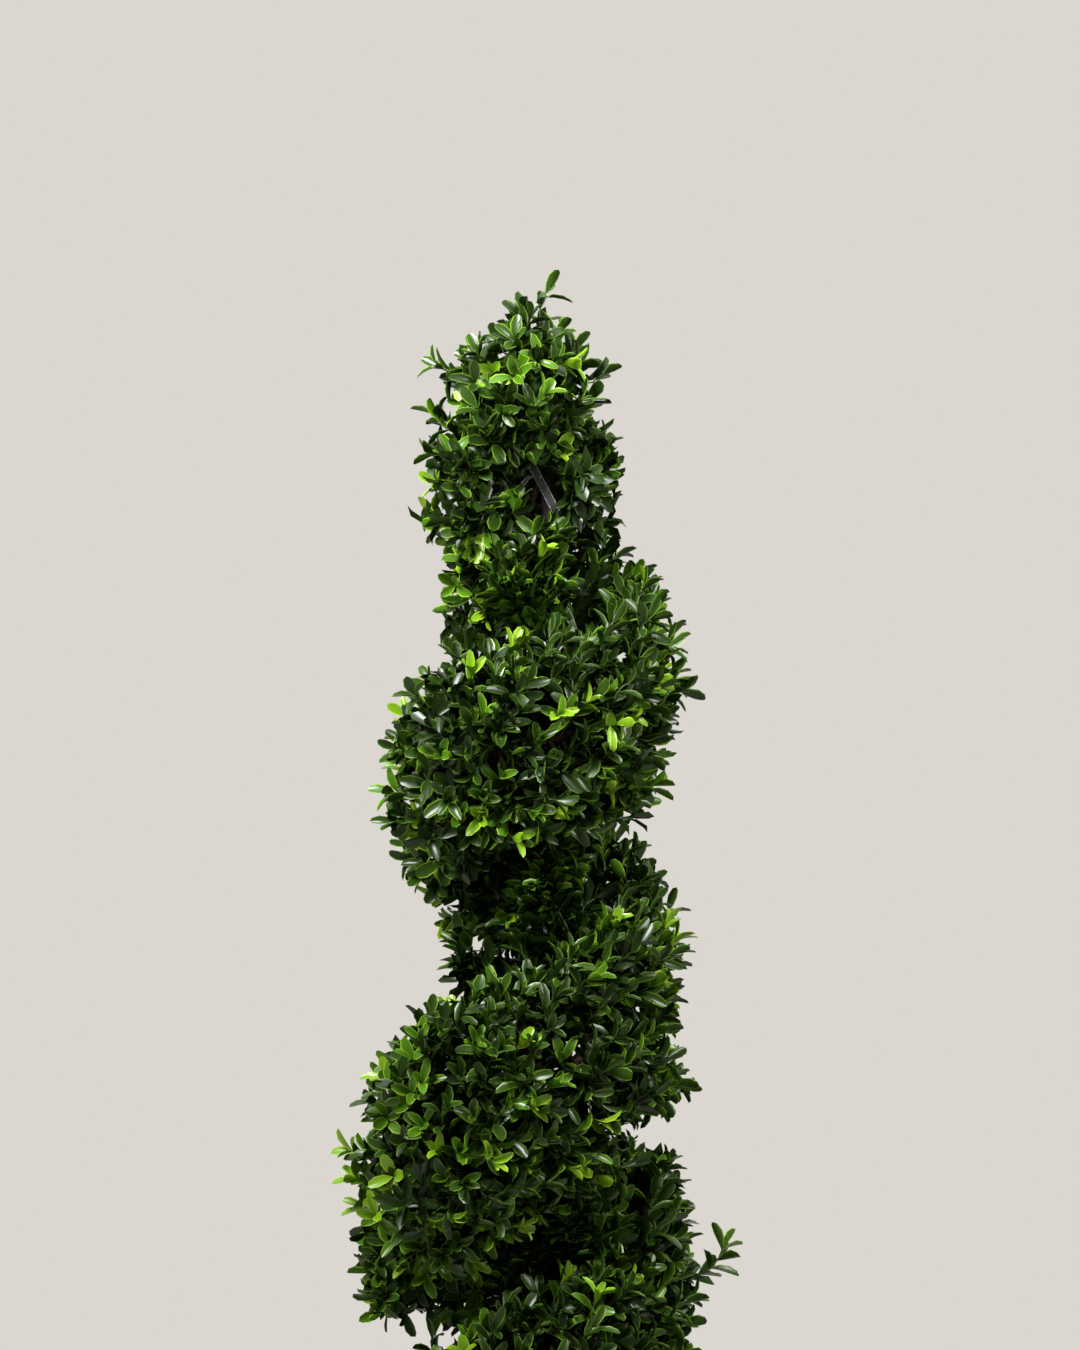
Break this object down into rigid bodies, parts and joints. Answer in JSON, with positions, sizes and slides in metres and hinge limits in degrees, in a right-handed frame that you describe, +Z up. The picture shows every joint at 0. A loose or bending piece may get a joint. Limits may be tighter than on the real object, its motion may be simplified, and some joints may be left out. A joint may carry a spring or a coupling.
{
  "type": "spiral topiary",
  "caption": "Artificial box topiary in its pot: a broad band of small leaves climbs round a slim trunk and ends in a rounded crown.",
  "frame": {"origin": "centre of the pot's flat underside", "axes": "+Z up the trunk, -Y towards the side drawn as the front, +X to that side's right"},
  "size_m": [0.3561, 0.3168, 1.5],
  "materials": {
    "leaves": "dense sprays of small glossy dark green leaves with paler rims",
    "bark": "dark brown furrowed bark",
    "bough": "red-brown wrapped stem",
    "pot": "plain black moulded plastic",
    "fill": "rough dark brown weighted fill",
    "tie": "translucent white"
  },
  "bodies": {
    "root": {"pot": "pot", "pot_fill": "fill", "trunk": "bark", "bough_foot": "bough", "bough_top": "bough", "twig_right": "bough", "tie_foot": "tie", "tie_top": "tie", "leaves_turn1_left": "leaves", "leaves_turn1_front": "leaves", "leaves_turn1_right": "leaves", "leaves_turn1_back": "leaves", "leaves_turn2_left": "leaves", "leaves_turn2_front": "leaves", "leaves_turn2_right": "leaves", "leaves_turn2_back": "leaves", "leaves_turn3_left": "leaves", "leaves_turn3_front": "leaves", "leaves_turn3_right": "leaves", "leaves_turn3_back": "leaves", "leaves_crown": "leaves", "leaves_twig": "leaves"}
  },
  "joints": []
}
